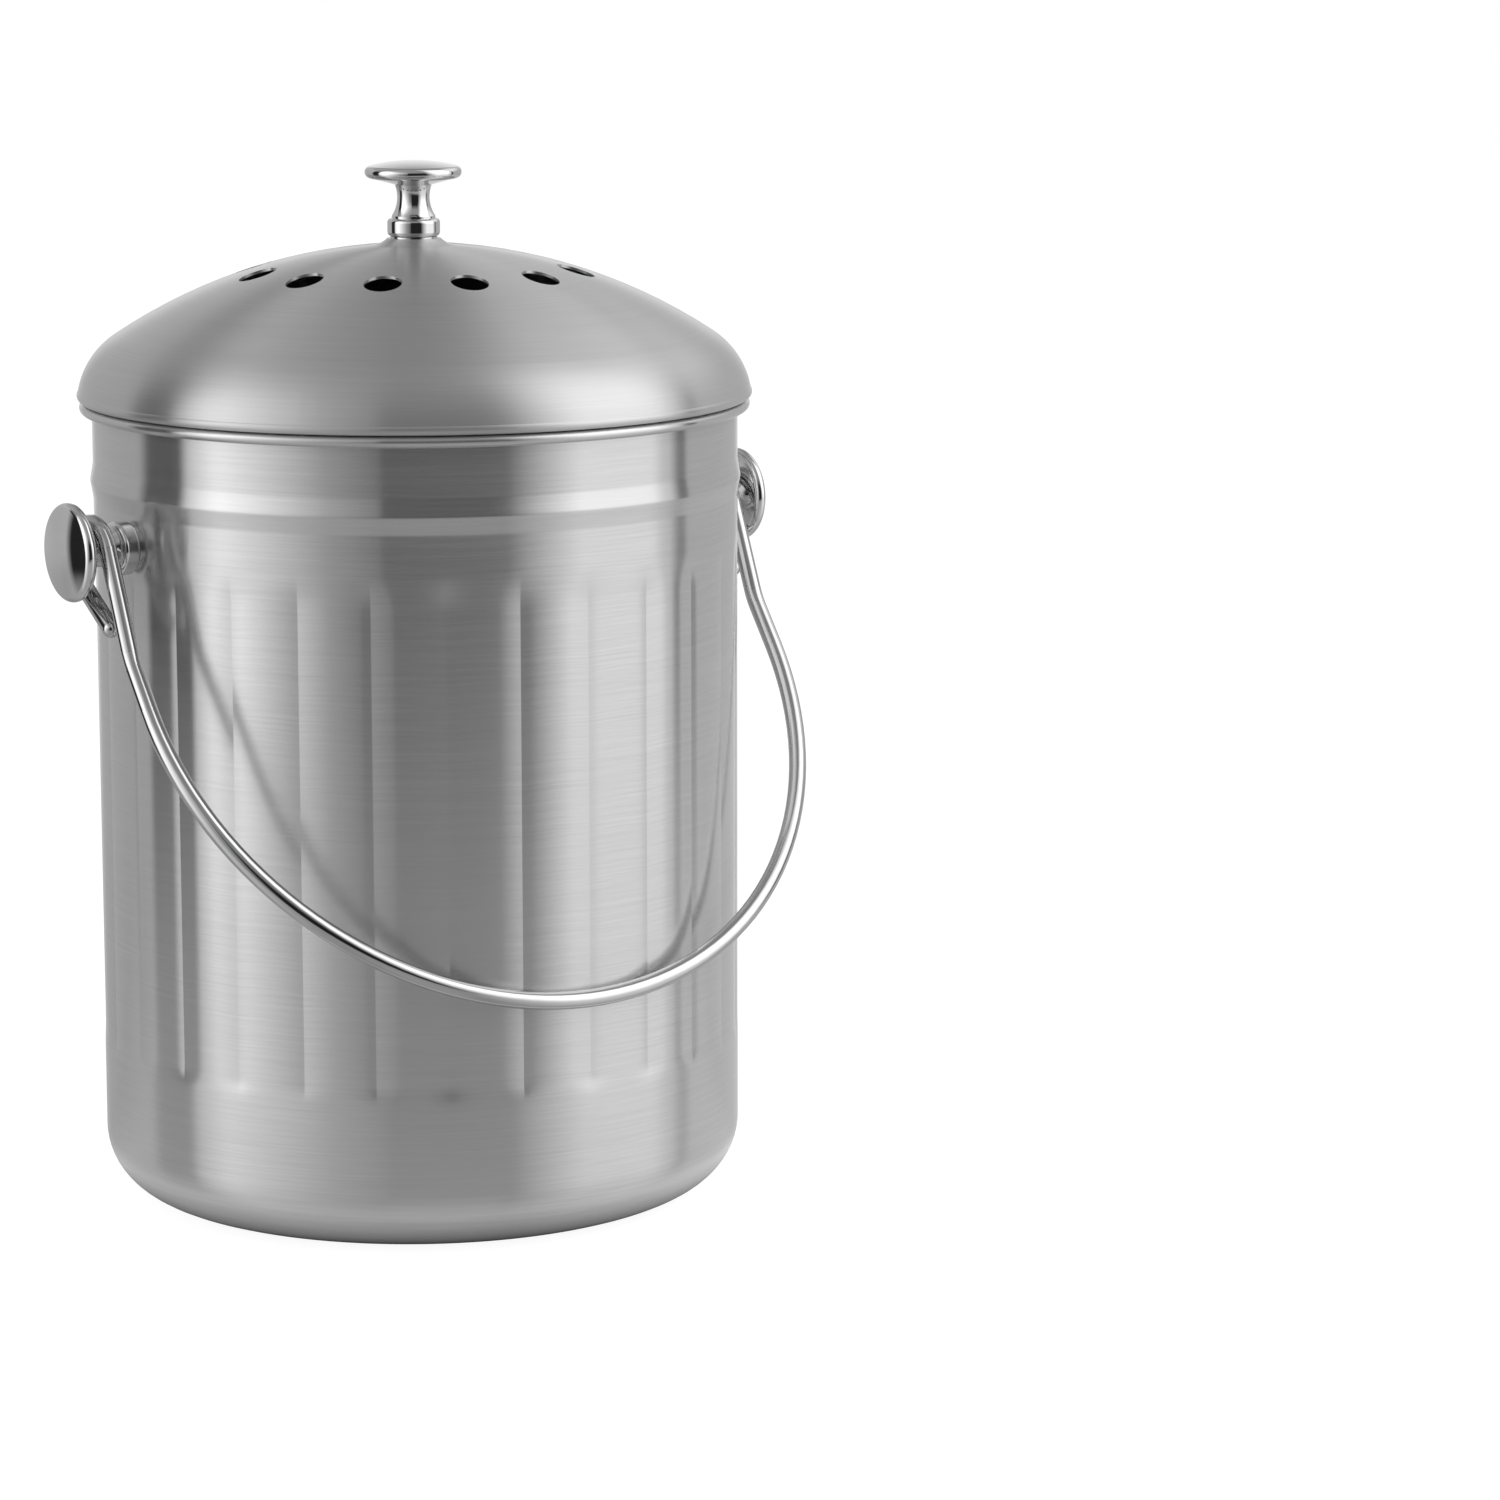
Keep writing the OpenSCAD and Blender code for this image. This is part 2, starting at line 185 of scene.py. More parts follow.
def spread(tree, value, low, high, to_low=0.0, to_high=1.0, smooth=False):
    """Maps a value from one range to another, and holds it at both ends."""
    node = add_node(tree, "ShaderNodeMapRange", clamp=True)
    if smooth:
        node.interpolation_type = "SMOOTHSTEP"
    feed(tree, node.inputs["Value"], value)
    for name, number in zip(("From Min", "From Max", "To Min", "To Max"),
                            (low, high, to_low, to_high)):
        feed(tree, node.inputs[name], number)
    return node.outputs["Result"]


def mix_colour(tree, factor, first, second):
    node = add_node(tree, "ShaderNodeMix", data_type="RGBA")
    # The colour sockets come after the number and vector ones of the same names
    for place, value in ((0, factor), (6, first), (7, second)):
        feed(tree, node.inputs[place], value)
    return node.outputs[2]


def noise(tree, vector, **values):
    """Fractal noise, with its sockets' values by name, such as scale or detail."""
    node = add_node(tree, "ShaderNodeTexNoise")
    wire(tree, vector, node.inputs["Vector"])
    for key, value in values.items():
        feed(tree, node.inputs[key.capitalize()], value)
    return node.outputs["Fac"]


def emission(tree, strength):
    node = add_node(tree, "ShaderNodeEmission")
    feed(tree, node.inputs["Strength"], strength)
    return node.outputs[0]


def mix_shaders(tree, factor, first, second):
    node = add_node(tree, "ShaderNodeMixShader")
    for socket, value in zip(node.inputs, (factor, first, second)):
        feed(tree, socket, value)
    return node.outputs[0]


def group(name, inputs, outputs):
    """An empty shader group with named sockets, and its input and output nodes."""
    tree = bpy.data.node_groups.new(name, "ShaderNodeTree")
    for label, default in inputs.items():
        socket = tree.interface.new_socket(label, in_out="INPUT", socket_type="NodeSocketFloat")
        socket.default_value = default
    for label, kind in outputs.items():
        tree.interface.new_socket(label, in_out="OUTPUT", socket_type=kind)
    return tree, tree.nodes.new("NodeGroupInput"), tree.nodes.new("NodeGroupOutput")


def place_group(tree, name, **values):
    node = add_node(tree, "ShaderNodeGroup", node_tree=LIBRARY[name])
    for key, value in values.items():
        feed(tree, node.inputs[key.replace("_", " ").capitalize()], value)
    return node


def make_ring_grain():
    """Fine scratches that run round the caddy's axis, on walls and on domes."""
    tree, given, out = group(
        "ring grain",
        {"Width": 0.0005, "Length": 0.03, "Detail": 3.0},
        {"Grain": "NodeSocketFloat", "Streak": "NodeSocketFloat"})
    coords = add_node(tree, "ShaderNodeTexCoord")
    split = add_node(tree, "ShaderNodeSeparateXYZ")
    wire(tree, coords.outputs["Object"], split.inputs[0])
    x, y, z = split.outputs
    radius = maths(tree, "SQRT", maths(tree, "ADD", maths(tree, "MULTIPLY", x, x),
                                       maths(tree, "MULTIPLY", y, y)))
    across = maths(tree, "SUBTRACT", radius, z)
    for label, widen, spot in (("Grain", 1.0, 0.0), ("Streak", 7.0, 4.7)):
        vector = add_node(tree, "ShaderNodeCombineXYZ")
        length = maths(tree, "MULTIPLY", given.outputs["Length"], widen ** 0.5)
        width = maths(tree, "MULTIPLY", given.outputs["Width"], widen)
        feed(tree, vector.inputs[0], maths(tree, "DIVIDE", x, length))
        feed(tree, vector.inputs[1], maths(tree, "ADD", maths(tree, "DIVIDE", y, length), spot))
        feed(tree, vector.inputs[2], maths(tree, "DIVIDE", across, width))
        scratches = noise(tree, vector.outputs[0], scale=1.0, detail=given.outputs["Detail"],
                          roughness=0.62)
        wire(tree, spread(tree, scratches, 0.3, 0.7), out.inputs[label])
    LIBRARY["ring grain"] = tree


def make_smudges():
    """Soft, large patches where a cloth or a hand has passed."""
    tree, given, out = group(
        "smudges", {"Size": 0.03}, {"Patch": "NodeSocketFloat", "Speck": "NodeSocketFloat"})
    coords = add_node(tree, "ShaderNodeTexCoord")
    for label, shrink, detail in (("Patch", 1.0, 2.0), ("Speck", 14.0, 4.0)):
        scale = maths(tree, "DIVIDE", shrink, given.outputs["Size"])
        patches = noise(tree, coords.outputs["Object"], scale=scale, detail=detail)
        wire(tree, spread(tree, patches, 0.35, 0.65), out.inputs[label])
    LIBRARY["smudges"] = tree


def new_material(name, colour, metallic, roughness):
    """Adds a plain material to the library, and returns its node tree and its shader."""
    material = bpy.data.materials.new(name)
    material.use_nodes = True
    tree = material.node_tree
    shader = tree.nodes["Principled BSDF"]
    shader.inputs["Base Color"].default_value = (*colour, 1.0)
    shader.inputs["Metallic"].default_value = metallic
    shader.inputs["Roughness"].default_value = roughness
    material.diffuse_color = (*colour, 1.0)
    LIBRARY[name] = material
    return tree, shader


def shade(colour, factor):
    return (*(min(1.0, part * factor) for part in colour), 1.0)


def tint(tree, shader, factor, colour, dark, bright):
    """Lets a factor move the shader's colour between a darker and a brighter shade."""
    wire(tree, mix_colour(tree, factor, shade(colour, dark), shade(colour, bright)),
         shader.inputs["Base Color"])


def roughen(tree, shader, factor, low, high):
    wire(tree, spread(tree, factor, 0.0, 1.0, low, high), shader.inputs["Roughness"])


def bump(tree, shader, height, strength, distance):
    node = add_node(tree, "ShaderNodeBump")
    node.inputs["Strength"].default_value = strength
    node.inputs["Distance"].default_value = distance
    wire(tree, height, node.inputs["Height"])
    wire(tree, node.outputs[0], shader.inputs["Normal"])


def make_brushed_steel(name, colour, roughness, width, length):
    """Sheet that is brushed round its axis, so that light spreads up and down it."""
    # The finest scratches scatter a share of the light, as a dull surface does
    tree, shader = new_material(name, colour, metallic=0.82, roughness=roughness)
    grain = place_group(tree, "ring grain", width=width, length=length)
    smudge = place_group(tree, "smudges", size=0.06)
    tone = maths(tree, "ADD", maths(tree, "MULTIPLY", grain.outputs["Grain"], 0.75),
                 maths(tree, "MULTIPLY", grain.outputs["Streak"], 0.25))
    tint(tree, shader, tone, colour, 0.95, 1.05)
    rough = maths(tree, "ADD", spread(tree, tone, 0.0, 1.0, -0.012, 0.012),
                  spread(tree, smudge.outputs["Patch"], 0.0, 1.0, roughness - 0.006,
                         roughness + 0.006))
    wire(tree, rough, shader.inputs["Roughness"])
    shader.inputs["Specular IOR Level"].default_value = 0.0
    shader.inputs["Anisotropic"].default_value = 1.0
    shader.inputs["Anisotropic Rotation"].default_value = 0.25
    tangent = add_node(tree, "ShaderNodeTangent", direction_type="RADIAL", axis="Z")
    wire(tree, tangent.outputs[0], shader.inputs["Tangent"])
    bump(tree, shader, tone, strength=0.12, distance=0.03 * MM)


def make_polished_steel(name, colour, roughness):
    tree, shader = new_material(name, colour, metallic=1.0, roughness=roughness)
    smudge = place_group(tree, "smudges", size=0.012)
    tint(tree, shader, smudge.outputs["Patch"], colour, 0.97, 1.03)
    roughen(tree, shader, smudge.outputs["Patch"], roughness * 0.8, roughness * 1.3)
    bump(tree, shader, smudge.outputs["Speck"], strength=0.02, distance=0.02 * MM)


def make_zinc(name, colour):
    tree, shader = new_material(name, colour, metallic=1.0, roughness=0.38)
    smudge = place_group(tree, "smudges", size=0.004)
    tint(tree, shader, smudge.outputs["Speck"], colour, 0.85, 1.1)
    roughen(tree, shader, smudge.outputs["Patch"], 0.3, 0.48)
    bump(tree, shader, smudge.outputs["Speck"], strength=0.2, distance=0.05 * MM)


def make_plastic(name, colour):
    tree, shader = new_material(name, colour, metallic=0.0, roughness=0.42)
    smudge = place_group(tree, "smudges", size=0.006)
    tint(tree, shader, smudge.outputs["Patch"], colour, 0.8, 1.4)
    roughen(tree, shader, smudge.outputs["Speck"], 0.36, 0.5)
    bump(tree, shader, smudge.outputs["Speck"], strength=0.25, distance=0.06 * MM)


def make_felt(name, colour):
    """Matted fibres with loose charcoal grains."""
    tree, shader = new_material(name, colour, metallic=0.0, roughness=0.95)
    coords = add_node(tree, "ShaderNodeTexCoord")
    fibre = noise(tree, coords.outputs["Object"], scale=900.0, detail=6.0, distortion=2.5)
    grains = add_node(tree, "ShaderNodeTexVoronoi")
    wire(tree, coords.outputs["Object"], grains.inputs["Vector"])
    grains.inputs["Scale"].default_value = 420.0
    tone = maths(tree, "MULTIPLY", fibre,
                 spread(tree, grains.outputs["Distance"], 0.0, 0.6, 0.5, 1.3))
    tint(tree, shader, tone, colour, 0.5, 2.6)
    shader.inputs["Sheen Weight"].default_value = 0.25
    bump(tree, shader, tone, strength=0.8, distance=0.6 * MM)


def make_materials(finish):
    make_ring_grain()
    make_smudges()
    make_brushed_steel("brushed_bucket_steel", finish.steel, finish.wall_rough, 0.0005, 0.03)
    make_brushed_steel("brushed_lid_steel", finish.steel, finish.lid_rough, 0.0006, 0.035)
    make_polished_steel("polished_knob", finish.polish, 0.05)
    # The wire's material is the knobs' polished steel with a darker colour, which is painted shade
    make_polished_steel("shaded_polished_wire", finish.wire, 0.08)
    make_zinc("zinc_plate", finish.zinc)
    make_plastic("holder_plastic", finish.plastic)
    make_felt("charcoal_felt", finish.felt)


# ------------------------------------------------------------------ modelling


def deselect():
    if bpy.context.object and bpy.context.object.mode != "OBJECT":
        bpy.ops.object.mode_set(mode="OBJECT")
    bpy.ops.object.select_all(action="DESELECT")


def pick(obj, test):
    """In edit mode, selects the vertices that pass the test, and nothing else."""
    mesh = bmesh.from_edit_mesh(obj.data)
    bpy.ops.mesh.select_mode(type="VERT")
    for vertex in mesh.verts:
        vertex.select = test(vertex.co)
    mesh.select_flush_mode()
    bmesh.update_edit_mesh(obj.data)


def close(first, second, within=1e-5):
    return abs(first - second) < within


def turned_rows(count, rows):
    """Stacks rings of vertices by extruding and scaling one circle: rows of (radius, z)."""
    deselect()
    radius, height = rows[0]
    bpy.ops.mesh.primitive_circle_add(vertices=count, radius=radius, location=(0, 0, 0))
    obj = bpy.context.object
    bpy.ops.object.mode_set(mode="EDIT")
    bpy.ops.mesh.select_all(action="SELECT")
    bpy.ops.transform.translate(value=(0, 0, height))
    for next_r, next_z in rows[1:]:
        bpy.ops.mesh.extrude_region_move(
            TRANSFORM_OT_translate={"value": (0, 0, next_z - height)})
        bpy.ops.transform.resize(value=(next_r / radius, next_r / radius, 1),
                                 center_override=(0, 0, 0))
        radius, height = next_r, next_z
    return obj


def close_pole(obj, radius, height):
    """Draws a ring of vertices together into one on the axis."""
    pick(obj, lambda co: close(co.z, height) and close(math.hypot(co.x, co.y), radius, 1e-4))
    bpy.ops.mesh.merge(type="CENTER")


def finish_turned(obj, name):
    bpy.ops.mesh.select_all(action="SELECT")
    bpy.ops.mesh.normals_make_consistent(inside=False)
    bpy.ops.object.mode_set(mode="OBJECT")
    obj.name = name
    obj.data.name = name


def dress(obj, material):
    obj.data.materials.clear()
    obj.data.materials.append(LIBRARY[material])


def dress_node(node, material):
    """Gives a CAD node's material slots a finished material."""
    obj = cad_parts[node]
    if not obj.data.materials:
        obj.data.materials.append(LIBRARY[material])
    for slot in obj.material_slots:
        slot.material = LIBRARY[material]


def levels(start, end, steps):
    """Evenly spaced heights or angles from start to end."""
    return [start + (end - start) * step / steps for step in range(steps + 1)]


def arc(centre_r, centre_z, radius, start, end, steps):
    """Points (radius, z) along an arc, in degrees from outwards towards up."""
    points = []
    for degrees in levels(start, end, steps):
        angle = math.radians(degrees)
        points.append((centre_r + radius * math.cos(angle), centre_z + radius * math.sin(angle)))
    return points


def bead_rows(size, inset):
    """The pressed bead: two cones that meet in a crest, with narrow roundings."""
    half, soft = size.bead_half, 0.35 * MM
    climb = (half + soft, half, half - soft, half / 2, 2 * soft, soft, soft / 2)
    points = []
    for offset in [-z for z in climb] + [0.0] + list(reversed(climb)):
        away = abs(offset)
        if away < soft:
            fall = (away ** 2 + soft ** 2) / (2 * soft)
        elif away > half - soft:
            fall = half - (half + soft - away) ** 2 / (4 * soft)
        else:
            fall = away
        swell = size.bead_out * (1 - fall / half)
        points.append((size.wall_r - inset + swell, size.bead_z + offset))
    return points


def flute_weight(size, z):
    """1 where the flutes are full, 0 off them, with a run-out at each end."""
    foot = (z - size.flute_low) / FOOT_RUN
    head = (size.flute_high - z) / HEAD_RUN
    t = max(0.0, min(1.0, foot, head))
    return t * t * (3 - 2 * t)


def flute_factor(size, phase, weight):
    """How much a ring is drawn in at a phase of a lobe, -0.5 to 0.5 from its crest."""
    turn = phase * 2 * math.pi / size.flutes
    middle = size.wall_r - CREST_DROP - size.lobe_r
    face = middle * math.cos(turn) + math.sqrt(
        size.lobe_r ** 2 - (middle * math.sin(turn)) ** 2)
    return 1 + weight * (face / size.wall_r - 1)


def bucket_rows(size, run):
    """The bucket's section, from the middle of its underside over the rim and back inside."""
    wall, sheet, corner = size.wall_r, size.wall_t, size.corner_r
    roll = 1.45 * MM
    roll_z = size.rim_z - roll
    wall_top, roll_foot = roll_z - 1.8 * MM, roll_z - 1.5 * MM
    below_flutes, above_flutes = size.flute_low - 7 * MM, size.flute_high + 3 * MM
    base_rings = (POLE_R, 0.035, 0.062)

    def side(inset):
        rows = [(wall - inset, z) for z in [below_flutes] + run + [above_flutes]]
        return rows + bead_rows(size, inset) + [(wall - inset, wall_top)]

    outer = [(radius, 0.0) for radius in base_rings]
    outer += arc(wall - corner, corner, corner, -90, 0, 16) + side(0.0)
    rim = [(wall, roll_foot)]
    rim += arc(size.rim_r - roll, roll_z, roll, -110, 90, 14)
    rim += arc(wall - sheet + roll, roll_z, roll, 90, 180, 6)
    inner = list(reversed(side(sheet)))
    inner += arc(wall - corner, corner, corner - sheet, 0, -90, 10)
    inner += [(radius, sheet) for radius in reversed(base_rings)]
    return outer + rim + inner


def press_flutes(obj, size, run):
    """Draws each column of the wall in to its lobe's face, row by row."""
    weights = {}
    for z in run:
        weights.setdefault(round(flute_weight(size, z), 5), []).append(z)
    lobe = 2 * math.pi / size.flutes
    for weight, heights in weights.items():
        if weight == 0:
            continue
        for column in range(COLUMNS // 2 + 1):
            phase = column / COLUMNS

            def on_column(co):
                if not any(close(co.z, z, SAME_LEVEL) for z in heights):
                    return False
                if math.hypot(co.x, co.y) < size.wall_r - WALL_DEPTH:
                    return False
                turn = math.atan2(co.x, -co.y) / lobe
                offset = abs((turn - 0.5) - round(turn - 0.5))
                return abs(offset - phase) < SAME_COLUMN

            pick(obj, on_column)
            factor = flute_factor(size, phase, weight)
            bpy.ops.transform.resize(value=(factor, factor, 1), center_override=(0, 0, 0))


def mark_creases(obj, size):
    """Keeps the shading sharp where two lobes meet."""
    bpy.ops.object.mode_set(mode="EDIT")
    mesh = bmesh.from_edit_mesh(obj.data)
    bpy.ops.mesh.select_mode(type="EDGE")
    lobe = 2 * math.pi / size.flutes
    least_weight = 0.1
    for edge in mesh.edges:
        first, second = (vertex.co for vertex in edge.verts)
        turn = math.atan2(first.x, -first.y) / lobe
        upright = close(math.atan2(second.x, -second.y) / lobe, turn, SAME_COLUMN)
        middle = (first.z + second.z) / 2
        edge.select = (upright and abs(turn - round(turn)) < SAME_COLUMN
                       and flute_weight(size, middle) > least_weight
                       and math.hypot(first.x, first.y) > size.wall_r - WALL_DEPTH)
    mesh.select_flush_mode()
    bmesh.update_edit_mesh(obj.data)
    bpy.ops.mesh.mark_sharp()
    bpy.ops.object.mode_set(mode="OBJECT")


def build_bucket(size):
    """The drawn bucket: base, fluted wall, bead and rolled rim in one sheet."""
    full_low, full_high = size.flute_low + FOOT_RUN, size.flute_high - HEAD_RUN
    run = levels(size.flute_low, full_low, 6)
    run += levels(full_low, full_high, 8)[1:-1]
    run += levels(full_high, size.flute_high, 7)
    obj = turned_rows(size.flutes * COLUMNS, bucket_rows(size, run))
    press_flutes(obj, size, run)
    close_pole(obj, POLE_R, 0.0)
    close_pole(obj, POLE_R, size.wall_t)
    finish_turned(obj, "fluted_bucket")
    bpy.ops.object.shade_smooth()
    mark_creases(obj, size)
    dress(obj, "brushed_bucket_steel")
    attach(obj, "bucket")
    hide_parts("bucket_shell")


def build_felt():
    """The charcoal felt: a soft-edged disc that lies in its holder."""
    low, high = FILTER_LOW[2], FILTER_HIGH[2]
    clearance, soft, dimple = 0.2 * MM, 1.6 * MM, 0.25 * MM
    radius = FILTER_HIGH[0] - clearance
    rings = 14
    rows = [(POLE_R, low), (0.04, low), (radius - soft, low)]
    rows += arc(radius - soft, low + soft, soft, -75, 0, 5)
    rows += arc(radius - soft, high - soft, soft, 0, 90, 6)
    rows += [(radius * (1 - step / rings), high - dimple * (step % 2)) for step in range(1, rings)]
    rows += [(POLE_R, high)]
    obj = turned_rows(96, rows)
    close_pole(obj, POLE_R, low)
    close_pole(obj, POLE_R, high)
    finish_turned(obj, "charcoal_felt_disc")
    bpy.ops.object.shade_smooth()
    dress(obj, "charcoal_felt")
    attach(obj, "lid")
    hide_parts("charcoal_filter")


# ------------------------------------------------------------------ studio


def stairs(tree, angle, first, steps):
    """A level that changes along an angle: each step is (from, to, change) in degrees."""
    level = first
    for start, end, change in steps:
        level = maths(tree, "ADD", level, spread(
            tree, angle, math.radians(start), math.radians(end), 0.0, change))
    return level


def turn_of(tree, vector, studio):
    """A direction's turn round the caddy: 0 towards the camera, more to the camera's right."""
    bearing = math.atan2(studio.camera_at[0], studio.camera_at[1])
    parts = []
    for axis in ((-math.cos(bearing), math.sin(bearing), 0),
                 (math.sin(bearing), math.cos(bearing), 0)):
        dot = add_node(tree, "ShaderNodeVectorMath", operation="DOT_PRODUCT")
        wire(tree, vector, dot.inputs[0])
        dot.inputs[1].default_value = axis
        parts.append(dot.outputs["Value"])
    return maths(tree, "ARCTAN2", *parts)


def build_world(studio):
    """Soft panels and dark gaps: each is a level along the turn times one along the height."""
    world = bpy.data.worlds.new("soft_studio")
    bpy.context.scene.world = world
    world.use_nodes = True
    tree = world.node_tree
    background = tree.nodes["Background"]
    coords = add_node(tree, "ShaderNodeTexCoord")
    split = add_node(tree, "ShaderNodeSeparateXYZ")
    wire(tree, coords.outputs["Generated"], split.inputs[0])
    azimuth = turn_of(tree, coords.outputs["Generated"], studio)
    elevation = maths(tree, "ARCSINE", split.outputs[2])
    left_panel = (stairs(tree, azimuth, 0.0, (
        (-92, -88, 0.80), (-88, -76, 0.57), (-72, -50, -0.58), (-50, -32, -0.45),
        (-32, -13, -0.25), (-13, -12, -0.09))), stairs(tree, elevation, 0.1, (
            (-60, -10, 0.85), (-10, 8, 0.4), (26, 54, -1.25))))
    right_panel = (stairs(tree, azimuth, 0.0, (
        (32, 60, 1.06), (92, 98, -0.4), (101, 106.5, -0.66))), stairs(tree, elevation, 0.1, (
            (-60, -10, 0.85), (-10, 8, 0.55), (50, 80, -1.1))))
    back_wall = (stairs(tree, azimuth, 0.9, (
        (-174, -160, -0.42), (-115, -109, -0.48), (110, 111.5, 0.48), (160, 174, 0.42))),
                 stairs(tree, elevation, 0.3, (
                     (-32, -8, 0.7), (8, 36, -0.8), (50, 80, -0.2))))
    high_right = (stairs(tree, azimuth, 0.0, ((70, 110, 1.0), (140, 165, -1.0))),
                  stairs(tree, elevation, 0.0, ((12, 30, 0.6), (42, 56, -0.6))))
    high_rear = (stairs(tree, azimuth, 1.0, ((-172, -148, -1.0), (148, 172, 1.0))),
                 stairs(tree, elevation, 0.0, ((16, 32, -0.2), (62, 80, 0.2))))
    # At the left and in front, the darkness near the horizon reaches higher
    dark_gaps = (stairs(tree, azimuth, 0.0, (
        (-115, -109, 1.0), (-92, -88, -1.0), (-14, -12, 1.0), (26, 34, -1.0))), stairs(
            tree, elevation, 0.14, ((-32, -12, -0.14), (8, 26, -0.31), (20, 36, 0.32))))
    total = stairs(tree, elevation, 0.02, ((8, 26, 0.31),))
    for across, upright in (left_panel, right_panel, back_wall, high_right, high_rear, dark_gaps):
        total = maths(tree, "ADD", total, maths(tree, "MULTIPLY", across, upright))
    path = add_node(tree, "ShaderNodeLightPath")
    shown = maths(tree, "MAXIMUM", path.outputs["Is Camera Ray"],
                  path.outputs["Is Transmission Ray"])
    strength = spread(tree, shown, 0.0, 1.0, total, 1.0)
    wire(tree, strength, background.inputs["Strength"])
    background.inputs["Color"].default_value = (1, 1, 1, 1)


def white_sweep(tree):
    """What the camera sees of the floor: white, with a trace of the caddy's shadow."""
    diffuse = add_node(tree, "ShaderNodeBsdfDiffuse")
    diffuse.inputs["Color"].default_value = (1, 1, 1, 1)
    glow_share = 0.8
    return mix_shaders(tree, glow_share, diffuse.outputs[0], emission(tree, 1.17))


def mirrored_table(tree, studio):
    """What the caddy mirrors: a pale table that glows with painted light, through which the studio
    still shows.
    """
    coords = add_node(tree, "ShaderNodeTexCoord")
    reach = add_node(tree, "ShaderNodeVectorMath", operation="LENGTH")
    wire(tree, coords.outputs["Object"], reach.inputs[0])
    distance = reach.outputs["Value"]
    # The table's glow is painted light that fades sooner on the left, and it holds a painted
    # shadow, dark, where the caddy stands on it
    turn = turn_of(tree, coords.outputs["Object"], studio)
    faded = maths(tree, "MULTIPLY", distance, spread(
        tree, maths(tree, "SINE", turn), -1.0, 1.0, 1.5, 0.8))
    paleness = spread(tree, faded, 0.6, 1.3, 1.0, 0.0, True)
    for start, end, low, high in ((0.082, 0.115, 1.0, 0.48), (0.2, 0.5, 1.0, 1.08)):
        paleness = maths(tree, "MULTIPLY", paleness, spread(
            tree, distance, start, end, low, high, True))
    # Painted shadow: the table's glow goes dark near the caddy's base
    painted_contact_shadow = spread(tree, distance, 0.074, 0.095)
    # Painted light: the table glows more or less with the turn round the caddy, as the lamps fall
    # on it
    light = stairs(tree, turn, 0.45, (
        (-115, -92, 0.3), (-50, -10, -0.03), (20, 60, 0.26), (100, 112, -0.2)))
    table = emission(tree, maths(tree, "MULTIPLY", painted_contact_shadow, light))
    clear = add_node(tree, "ShaderNodeBsdfTransparent")
    return mix_shaders(tree, paleness, clear.outputs[0], table)


def build_floor(studio):
    """A white sweep for the camera, and a pale table for what the caddy mirrors."""
    deselect()
    under_base = 0.4 * MM
    bpy.ops.mesh.primitive_plane_add(size=6, location=(0, 0, -under_base))
    floor = bpy.context.object
    floor.name = "studio_floor"
    material = bpy.data.materials.new("white_sweep")
    material.use_nodes = True
    tree = material.node_tree
    tree.nodes.remove(tree.nodes["Principled BSDF"])
    path = add_node(tree, "ShaderNodeLightPath")
    chosen = mix_shaders(tree, path.outputs["Is Camera Ray"], mirrored_table(tree, studio),
                         white_sweep(tree))
    wire(tree, chosen, tree.nodes["Material Output"].inputs["Surface"])
    floor.data.materials.append(material)


def build_camera(studio):
    deselect()
    bpy.ops.object.camera_add(
        location=studio.camera_at,
        rotation=(math.pi / 2 - studio.pitch, 0, -studio.heading))
    camera = bpy.context.object
    camera.data.lens = studio.lens
    camera.data.sensor_width = 36
    camera.data.clip_end = 20
    bpy.context.scene.camera = camera
    bpy.context.scene.view_settings.view_transform = "Standard"


# ------------------------------------------------------------------ operators


class CADDY_OT_finishes(bpy.types.Operator):
    """Make the finishes that the pieces are dressed in"""
    bl_idname = "caddy.finishes"
    bl_label = "Finishes"

    def execute(self, context):
        make_materials(context.scene.caddy_finish)
        return {"FINISHED"}


class CADDY_OT_bucket(bpy.types.Operator):
    """Model the fluted bucket"""
    bl_idname = "caddy.bucket"
    bl_label = "Bucket"

    def execute(self, context):
        build_bucket(context.scene.caddy_bucket)
        return {"FINISHED"}


class CADDY_OT_lid(bpy.types.Operator):
    """Finish the lid: its dome and its skirt"""
    bl_idname = "caddy.lid"
    bl_label = "Lid"

    def execute(self, context):
        for node in ("lid_dome", "lid_skirt"):
            dress_node(node, "brushed_lid_steel")
        return {"FINISHED"}


class CADDY_OT_knobs(bpy.types.Operator):
    """Finish the three turned knobs"""
    bl_idname = "caddy.knobs"
    bl_label = "Knobs"

    def execute(self, context):
        for node in ("left_pivot_knob", "right_pivot_knob", "lid_knob"):
            dress_node(node, "polished_knob")
        return {"FINISHED"}


class CADDY_OT_bail(bpy.types.Operator):
    """Finish the wire bail"""
    bl_idname = "caddy.bail"
    bl_label = "Bail"

    def execute(self, context):
        dress_node("bail_handle", "shaded_polished_wire")
        return {"FINISHED"}


class CADDY_OT_screws(bpy.types.Operator):
    """Finish the screws and washers"""
    bl_idname = "caddy.screws"
    bl_label = "Screws and washers"

    def execute(self, context):
        for node in ("left_pivot_washer", "right_pivot_washer", "left_pivot_screw",
                     "right_pivot_screw", "lid_knob_washer", "lid_knob_screw"):
            dress_node(node, "zinc_plate")
        return {"FINISHED"}


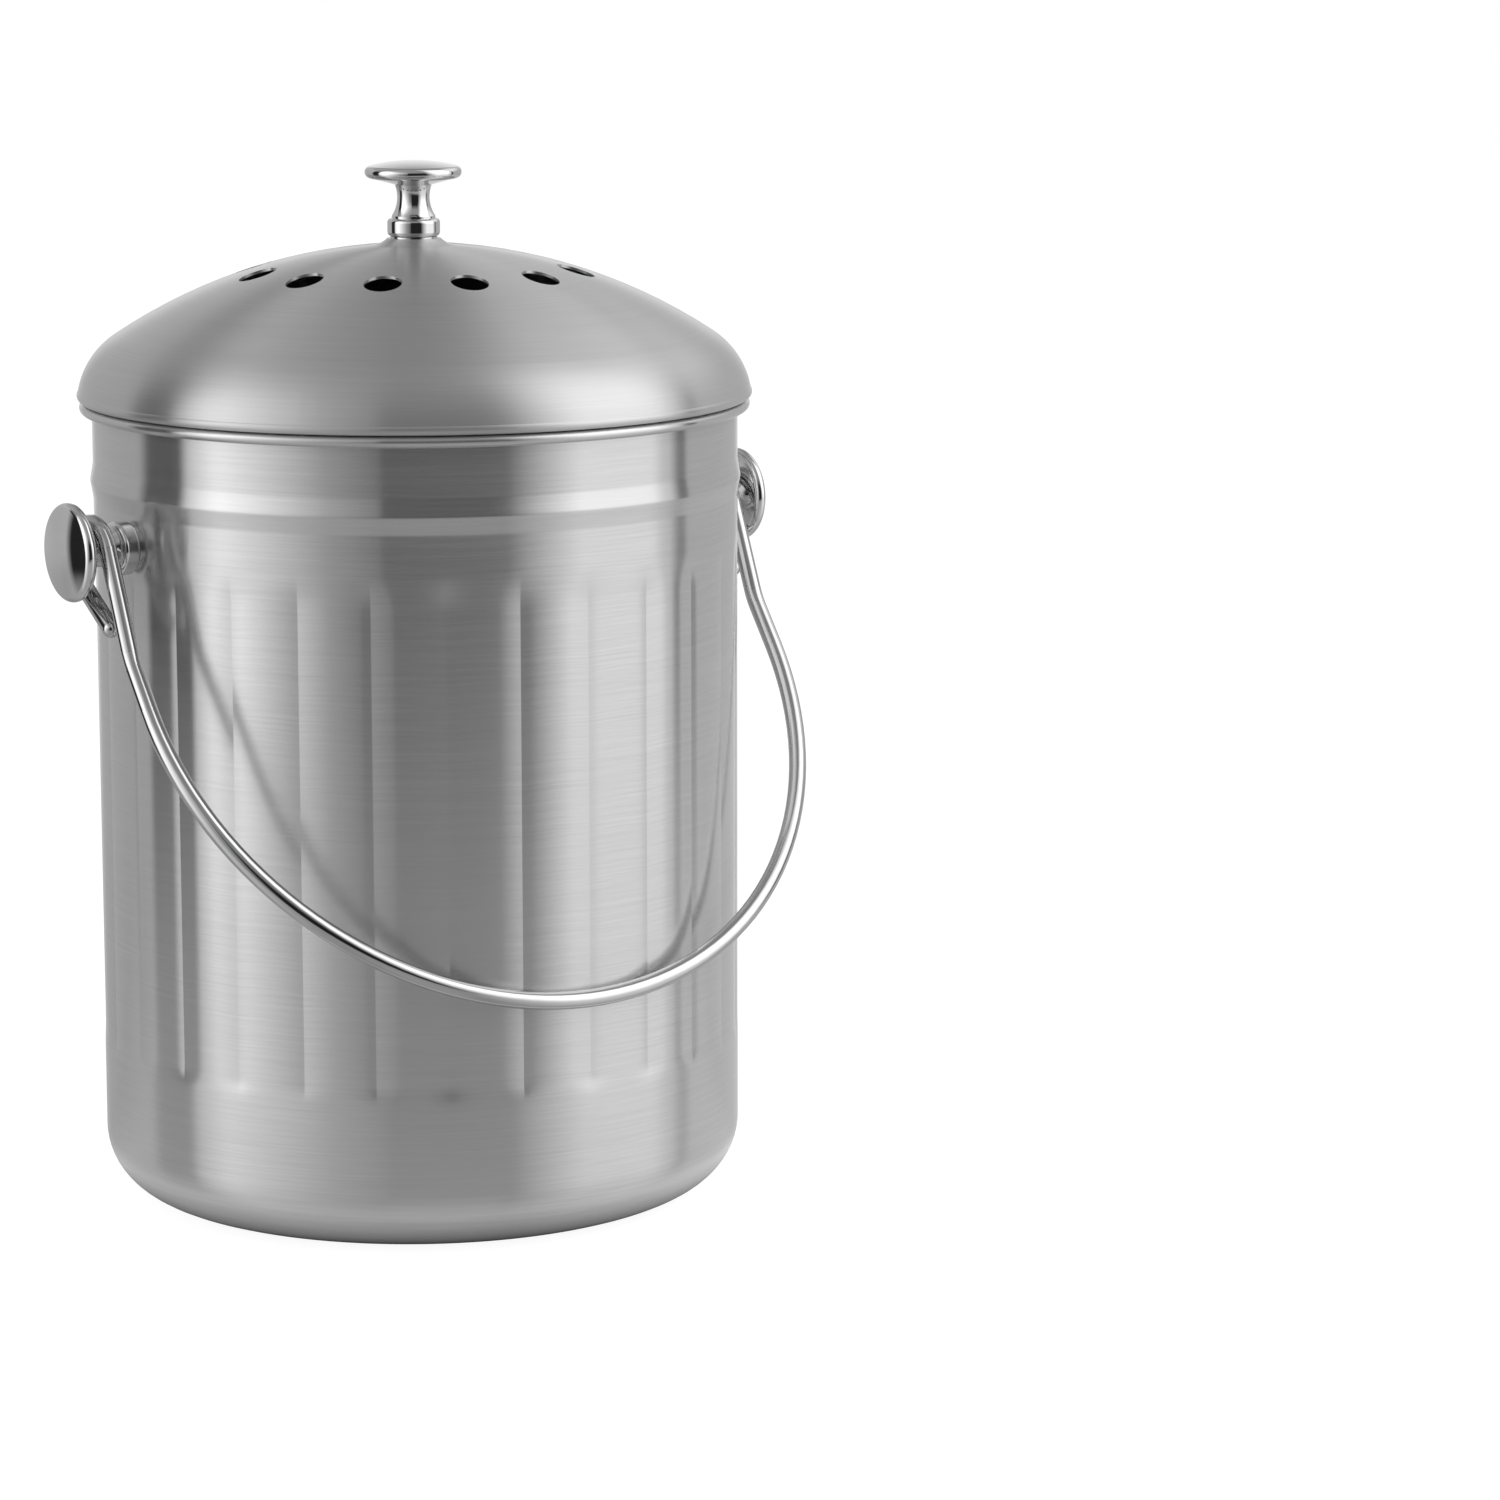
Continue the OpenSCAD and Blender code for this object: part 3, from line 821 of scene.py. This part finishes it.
class CADDY_OT_filter(bpy.types.Operator):
    """Model the charcoal felt, and finish its holder"""
    bl_idname = "caddy.filter"
    bl_label = "Filter"

    def execute(self, context):
        dress_node("filter_holder", "holder_plastic")
        build_felt()
        return {"FINISHED"}


class CADDY_OT_studio(bpy.types.Operator):
    """Set up the floor, the light and the camera"""
    bl_idname = "caddy.studio"
    bl_label = "Studio"

    def execute(self, context):
        build_world(context.scene.caddy_studio)
        build_floor(context.scene.caddy_studio)
        build_camera(context.scene.caddy_studio)
        return {"FINISHED"}


BUILDERS = (CADDY_OT_finishes, CADDY_OT_bucket, CADDY_OT_lid, CADDY_OT_knobs, CADDY_OT_bail,
            CADDY_OT_screws, CADDY_OT_filter, CADDY_OT_studio)


class CADDY_PT_panel(bpy.types.Panel):
    """The caddy's pieces and settings"""
    bl_idname = "CADDY_PT_panel"
    bl_label = "Compost caddy"
    bl_space_type = "VIEW_3D"
    bl_region_type = "UI"
    bl_category = "Caddy"

    def draw(self, context):
        for builder in BUILDERS:
            self.layout.operator(builder.bl_idname)
        for settings in (context.scene.caddy_bucket, context.scene.caddy_finish,
                         context.scene.caddy_studio):
            for name in settings.__annotations__:
                self.layout.prop(settings, name)


CLASSES = (CaddyBucket, CaddyFinish, CaddyStudio, *BUILDERS, CADDY_PT_panel)


def register():
    for cls in CLASSES:
        bpy.utils.register_class(cls)
    bpy.types.Scene.caddy_bucket = PointerProperty(type=CaddyBucket)
    bpy.types.Scene.caddy_finish = PointerProperty(type=CaddyFinish)
    bpy.types.Scene.caddy_studio = PointerProperty(type=CaddyStudio)


def unregister():
    del bpy.types.Scene.caddy_studio
    del bpy.types.Scene.caddy_finish
    del bpy.types.Scene.caddy_bucket
    for cls in reversed(CLASSES):
        bpy.utils.unregister_class(cls)


def main():
    register()
    bpy.ops.caddy.finishes()
    bpy.ops.caddy.bucket()
    bpy.ops.caddy.lid()
    bpy.ops.caddy.knobs()
    bpy.ops.caddy.bail()
    bpy.ops.caddy.screws()
    bpy.ops.caddy.filter()
    bpy.ops.caddy.studio()
    bpy.context.view_layer.update()


if __name__ == "__main__":
    main()
